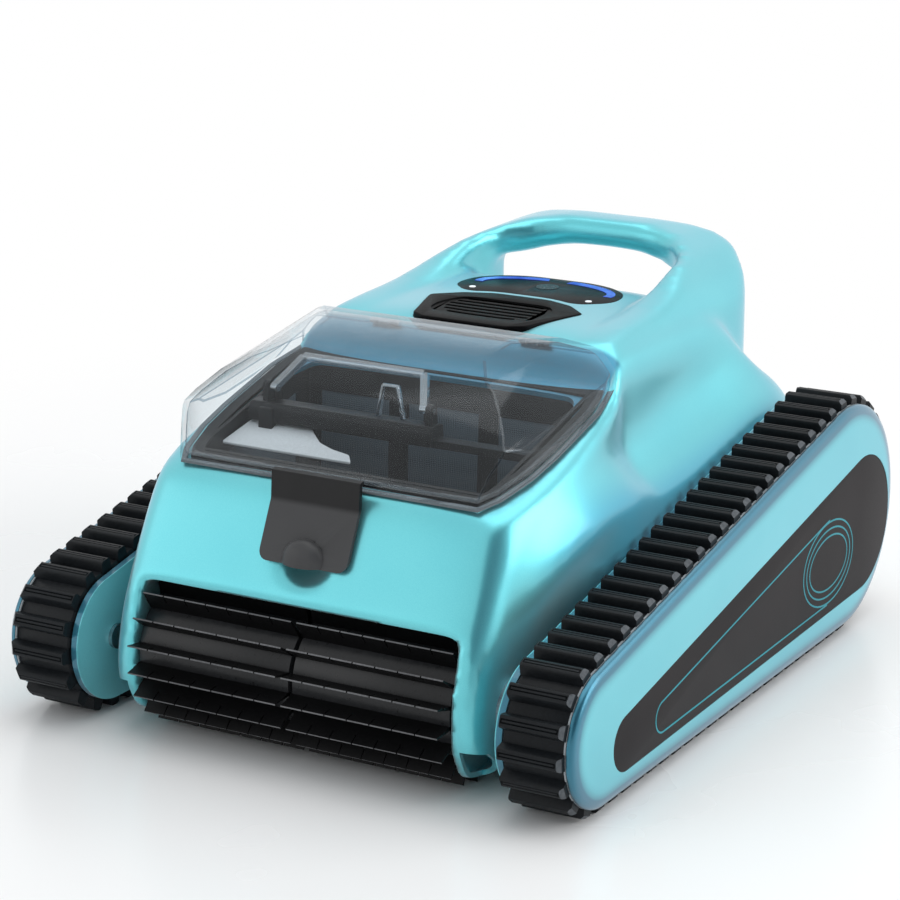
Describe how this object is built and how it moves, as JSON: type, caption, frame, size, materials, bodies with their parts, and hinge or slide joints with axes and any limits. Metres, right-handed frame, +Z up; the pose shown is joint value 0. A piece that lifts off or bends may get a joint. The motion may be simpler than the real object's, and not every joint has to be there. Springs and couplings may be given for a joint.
{
  "type": "pool cleaner",
  "caption": "Cordless tracked pool cleaner with a front brush roller, clear hinged lid over a lift-out filter basket, carry handle and rubber track belts.",
  "frame": {"origin": "on the pool floor, under the middle of the machine", "axes": "+Z up, +X to the machine's right, brush and lid at the -Y end"},
  "size_m": [0.4, 0.49, 0.268],
  "materials": {
    "shell": "satin pearlescent turquoise moulding",
    "tray": "fine-textured dark grey moulding",
    "steel": "stainless, brushed",
    "black": "fine-textured black moulding",
    "display": "gloss black",
    "light": "blue light guide",
    "white_light": "white light guide",
    "board": "green solder mask",
    "pump": "grey moulding",
    "motor": "satin can",
    "impeller": "pale moulding",
    "case": "sealed case",
    "cell": "shrink sleeve",
    "mesh": "fine woven mesh",
    "clear": "clear smoky polycarbonate",
    "rubber": "matt black rubber",
    "bush": "acetal",
    "wheel": "glass-filled nylon",
    "gear": "cut brass",
    "panel": "matt charcoal",
    "trim": "turquoise line"
  },
  "bodies": {
    "base": {"top_shell": "shell", "chassis_tray": "tray", "body_screws": "steel", "outlet_grille": "black", "display_panel": "display", "light_bars": "light", "status_lights": "white_light", "control_board": "board", "pump_housing": "pump", "pump_cradle": "pump", "pump_motor": "motor", "battery_case": "case", "battery_cells": "cell", "charging_port": "black", "port_cap_pin": "steel", "flap_pin": "steel", "filter_basket": "black", "basket_mesh": "mesh", "bail_pins": "steel", "lid_hinge_pins": "steel", "brush_bushes": "bush", "brush_motor": "motor", "shaft_seals": "rubber", "wheel_axles": "steel", "cover_screws": "steel", "frame_screws": "steel", "side_cover_left": "shell", "side_panel_left": "panel", "trim_lines_left": "trim", "track_belt_left": "rubber", "track_frame_left": "shell", "drive_motor_left": "motor", "side_cover_right": "shell", "side_panel_right": "panel", "trim_lines_right": "trim", "track_belt_right": "rubber", "track_frame_right": "shell", "drive_motor_right": "motor"},
    "lid": {"lid": "clear", "lid_seal": "rubber", "latch_pin": "steel"},
    "latch": {"latch": "black"},
    "brush": {"brush_left": "rubber", "brush_right": "rubber", "brush_shaft": "steel"},
    "impeller": {"impeller": "impeller", "impeller_shaft": "steel"},
    "power_button": {"power_button": "display"},
    "port_cap": {"port_cap": "rubber"},
    "inlet_flap": {"inlet_flap": "pump"},
    "basket_bail": {"basket_bail": "clear"},
    "front_wheel_left": {"front_wheel_left": "wheel"},
    "rear_wheel_left": {"rear_wheel_left": "wheel", "wheel_gear_left": "gear"},
    "drive_pinion_left": {"drive_pinion_left": "gear"},
    "front_wheel_right": {"front_wheel_right": "wheel"},
    "rear_wheel_right": {"rear_wheel_right": "wheel", "wheel_gear_right": "gear"},
    "drive_pinion_right": {"drive_pinion_right": "gear"}
  },
  "joints": [
    {"name": "lid_hinge", "type": "hinge", "parent": "base", "child": "lid", "pos_m": [0, -0.0185, 0.226], "axis": [-1, 0, 0], "range_deg": [0, 100]},
    {"name": "latch_hinge", "type": "hinge", "parent": "lid", "child": "latch", "pos_m": [0, -0.1848, 0.169], "axis": [-1, 0, 0], "range_deg": [0, 60]},
    {"name": "brush_spin", "type": "hinge", "parent": "base", "child": "brush", "pos_m": [0, -0.1867, 0.051], "axis": [1, 0, 0], "continuous": true},
    {"name": "rear_wheel_left_spin", "type": "hinge", "parent": "base", "child": "rear_wheel_left", "pos_m": [-0.173, 0.162, 0.083], "axis": [1, 0, 0], "continuous": true},
    {"name": "front_wheel_left_spin", "type": "hinge", "parent": "base", "child": "front_wheel_left", "pos_m": [-0.173, -0.196, 0.049], "axis": [1, 0, 0], "continuous": true},
    {"name": "drive_pinion_left_spin", "type": "hinge", "parent": "base", "child": "drive_pinion_left", "pos_m": [-0.15, 0.126, 0.083], "axis": [1, 0, 0], "continuous": true},
    {"name": "rear_wheel_right_spin", "type": "hinge", "parent": "base", "child": "rear_wheel_right", "pos_m": [0.173, 0.162, 0.083], "axis": [1, 0, 0], "continuous": true},
    {"name": "front_wheel_right_spin", "type": "hinge", "parent": "base", "child": "front_wheel_right", "pos_m": [0.173, -0.196, 0.049], "axis": [1, 0, 0], "continuous": true},
    {"name": "drive_pinion_right_spin", "type": "hinge", "parent": "base", "child": "drive_pinion_right", "pos_m": [0.15, 0.126, 0.083], "axis": [1, 0, 0], "continuous": true},
    {"name": "impeller_spin", "type": "hinge", "parent": "base", "child": "impeller", "pos_m": [0, 0.027, 0.201], "axis": [0, 0, 1], "continuous": true},
    {"name": "power_button_press", "type": "slide", "parent": "base", "child": "power_button", "axis": [0, 0, -1], "range_m": [0, 0.0012], "stiffness_N_per_m": 400, "springref_m": -0.0004},
    {"name": "port_cap_hinge", "type": "hinge", "parent": "base", "child": "port_cap", "pos_m": [0, 0.2432, 0.1025], "axis": [1, 0, 0], "range_deg": [0, 110]},
    {"name": "inlet_flap_hinge", "type": "hinge", "parent": "base", "child": "inlet_flap", "pos_m": [0, -0.062, 0.0192], "axis": [-1, 0, 0], "range_deg": [0, 45]},
    {"name": "basket_bail_hinge", "type": "hinge", "parent": "base", "child": "basket_bail", "pos_m": [0, -0.108, 0.19936], "axis": [1, 0, 0], "range_deg": [0, 130]}
  ],
  "couplings": [
    {"joint": "front_wheel_left_spin", "follows": "rear_wheel_left_spin", "ratio": 1.8947},
    {"joint": "drive_pinion_left_spin", "follows": "rear_wheel_left_spin", "ratio": -3},
    {"joint": "front_wheel_right_spin", "follows": "rear_wheel_right_spin", "ratio": 1.8947},
    {"joint": "drive_pinion_right_spin", "follows": "rear_wheel_right_spin", "ratio": -3}
  ]
}
